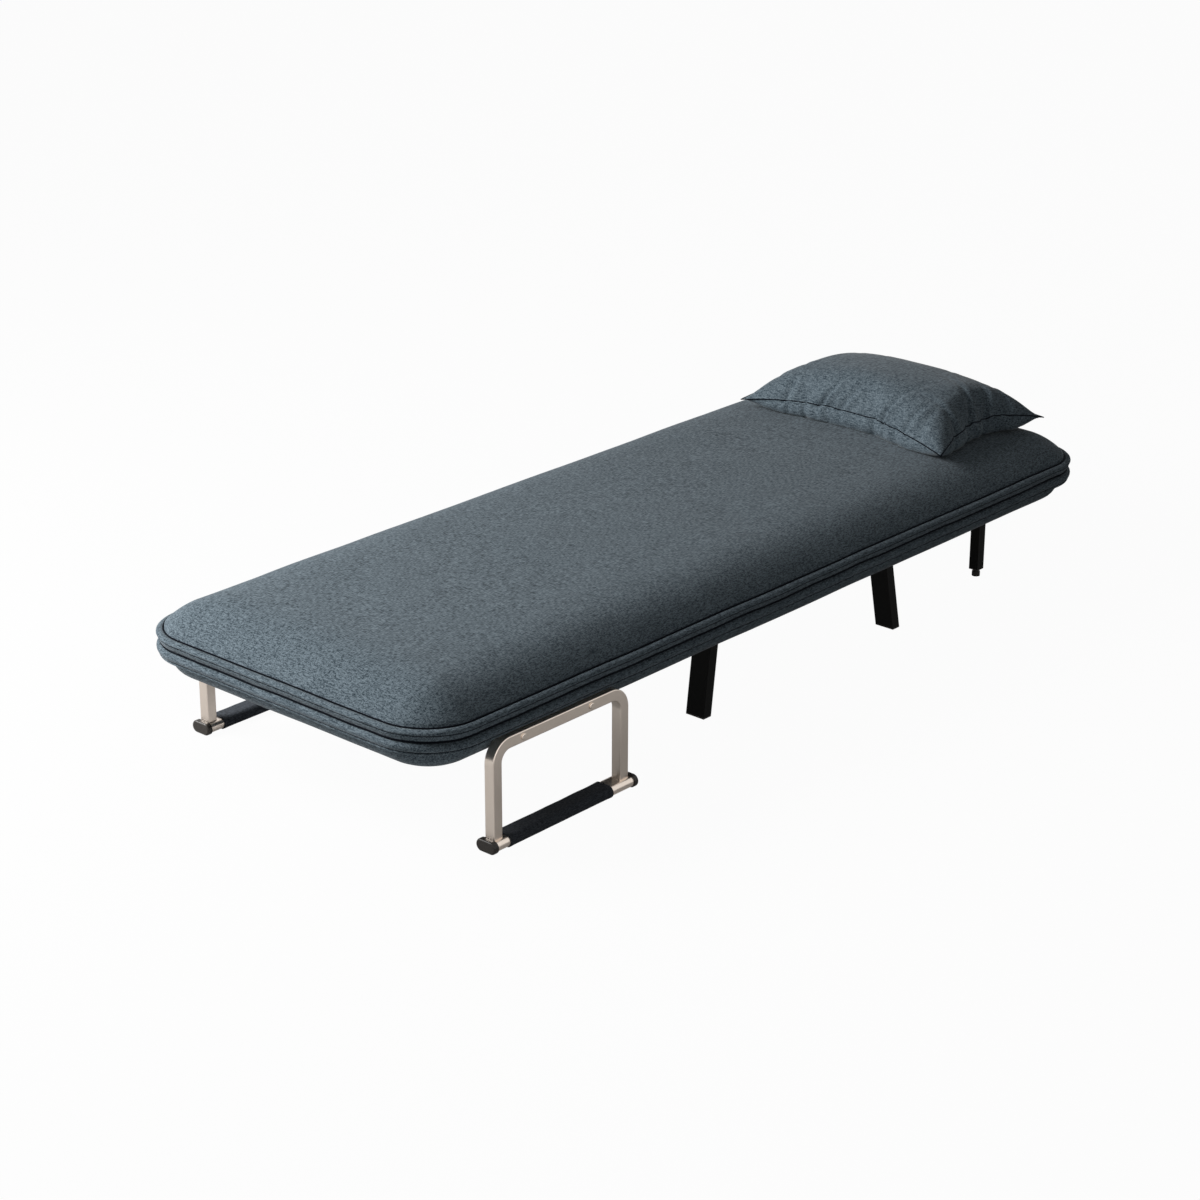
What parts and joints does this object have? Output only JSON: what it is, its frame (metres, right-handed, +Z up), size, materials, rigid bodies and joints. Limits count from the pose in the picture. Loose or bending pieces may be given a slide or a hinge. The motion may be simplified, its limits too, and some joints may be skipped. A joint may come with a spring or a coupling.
{
  "type": "convertible chair bed",
  "caption": "Convertible chair bed laid flat: padded sections in dark blue-grey fabric on plated armrest loops and black legs, with a loose pillow.",
  "frame": {"origin": "on the floor, under the middle of the bed laid flat", "axes": "+X across the bed, +Y from the foot end to the head end, +Z up; the chair faces -Y"},
  "size_m": [0.717, 1.82, 0.3953],
  "materials": {
    "cover_fabric": "woven melange upholstery fabric over foam",
    "pillow_fabric": "the same woven fabric over a loose filling",
    "sleeve_fabric": "dark navy fabric sleeve over thin padding",
    "frame_steel": "black painted steel tube",
    "webbing": "woven elastic webbing",
    "black_steel": "near-black powder coat",
    "satin_metal": "satin nickel plated steel",
    "hinge_steel": "zinc plated steel",
    "black_plastic": "moulded plastic with a soft sheen"
  },
  "bodies": {
    "seat_section": {"seat_upper_pad": "cover_fabric", "seat_lower_pad": "cover_fabric", "seat_rail_right": "frame_steel", "seat_rail_left": "frame_steel", "seat_cross_tubes": "frame_steel", "seat_webbing": "webbing", "front_leg_right": "black_steel", "front_leg_left": "black_steel", "rear_leg_right": "black_steel", "rear_leg_left": "black_steel", "leg_mounting_plates": "black_steel", "leg_bolts": "hinge_steel", "leg_glides": "black_plastic", "flip_hinge_seat_arms": "hinge_steel", "flip_hinge_seat_pins": "hinge_steel", "ratchet_plate_right": "hinge_steel", "ratchet_plate_left": "hinge_steel", "recline_pivot_pins": "hinge_steel"},
    "flip_links": {"flip_link_right": "hinge_steel", "flip_link_left": "hinge_steel"},
    "foot_section": {"foot_upper_pad": "cover_fabric", "foot_lower_pad": "cover_fabric", "foot_rail_right": "frame_steel", "foot_rail_left": "frame_steel", "foot_cross_tubes": "frame_steel", "foot_webbing": "webbing", "flip_hinge_foot_arms": "hinge_steel", "flip_hinge_foot_pins": "hinge_steel", "armrest_loop_right": "satin_metal", "armrest_loop_left": "satin_metal", "armrest_bar_right": "satin_metal", "armrest_bar_left": "satin_metal", "armrest_sleeve_right": "sleeve_fabric", "armrest_sleeve_left": "sleeve_fabric", "armrest_end_caps": "black_plastic", "armrest_bolts": "satin_metal", "armrest_spacers": "satin_metal", "armrest_nuts": "satin_metal"},
    "back_section": {"back_upper_pad": "cover_fabric", "back_lower_pad": "cover_fabric", "back_rail_right": "frame_steel", "back_rail_left": "frame_steel", "back_cross_tubes": "frame_steel", "back_webbing": "webbing", "recline_arm_right": "hinge_steel", "recline_arm_left": "hinge_steel", "pawl_pins": "hinge_steel", "pawl_springs": "hinge_steel", "head_leg_brackets": "black_steel"},
    "pawl_right": {"pawl_right": "hinge_steel"},
    "pawl_left": {"pawl_left": "hinge_steel"},
    "head_legs": {"head_leg_right": "black_steel", "head_leg_left": "black_steel", "head_leg_rod": "black_steel", "head_leg_plugs": "black_plastic"},
    "levelling_foot_right": {"levelling_foot_right": "black_plastic"},
    "levelling_foot_left": {"levelling_foot_left": "black_plastic"},
    "pillow": {"pillow": "pillow_fabric"}
  },
  "joints": [
    {"name": "flip_link_turn", "type": "hinge", "parent": "seat_section", "child": "flip_links", "pos_m": [0, -0.24585, 0.277], "axis": [-1, 0, 0], "range_deg": [0, 90]},
    {"name": "foot_section_turn", "type": "hinge", "parent": "flip_links", "child": "foot_section", "pos_m": [0, -0.27415, 0.277], "axis": [-1, 0, 0], "range_deg": [0, 90]},
    {"name": "back_recline", "type": "hinge", "parent": "seat_section", "child": "back_section", "pos_m": [0, 0.4, 0.279], "axis": [1, 0, 0], "range_deg": [0, 80]},
    {"name": "pawl_right_drop", "type": "hinge", "parent": "back_section", "child": "pawl_right", "pos_m": [0.1925, 0.41836, 0.23574], "axis": [-1, 0, 0], "range_deg": [0, 10]},
    {"name": "pawl_left_drop", "type": "hinge", "parent": "back_section", "child": "pawl_left", "pos_m": [-0.1925, 0.41836, 0.23574], "axis": [-1, 0, 0], "range_deg": [0, 10]},
    {"name": "head_legs_fold", "type": "hinge", "parent": "back_section", "child": "head_legs", "pos_m": [0, 0.7275, 0.141], "axis": [-1, 0, 0], "range_deg": [0, 90]},
    {"name": "levelling_foot_right_screw", "type": "slide", "parent": "head_legs", "child": "levelling_foot_right", "axis": [0, 0, -1], "range_m": [0, 0.01]},
    {"name": "levelling_foot_left_screw", "type": "slide", "parent": "head_legs", "child": "levelling_foot_left", "axis": [0, 0, -1], "range_m": [0, 0.01]},
    {"name": "pillow_lift", "type": "slide", "parent": "back_section", "child": "pillow", "axis": [0, 0.4226, 0.9063], "range_m": [0, 0.15]}
  ],
  "couplings": [
    {"joint": "flip_link_turn", "follows": "foot_section_turn", "ratio": 1},
    {"joint": "pawl_left_drop", "follows": "pawl_right_drop", "ratio": 1}
  ]
}
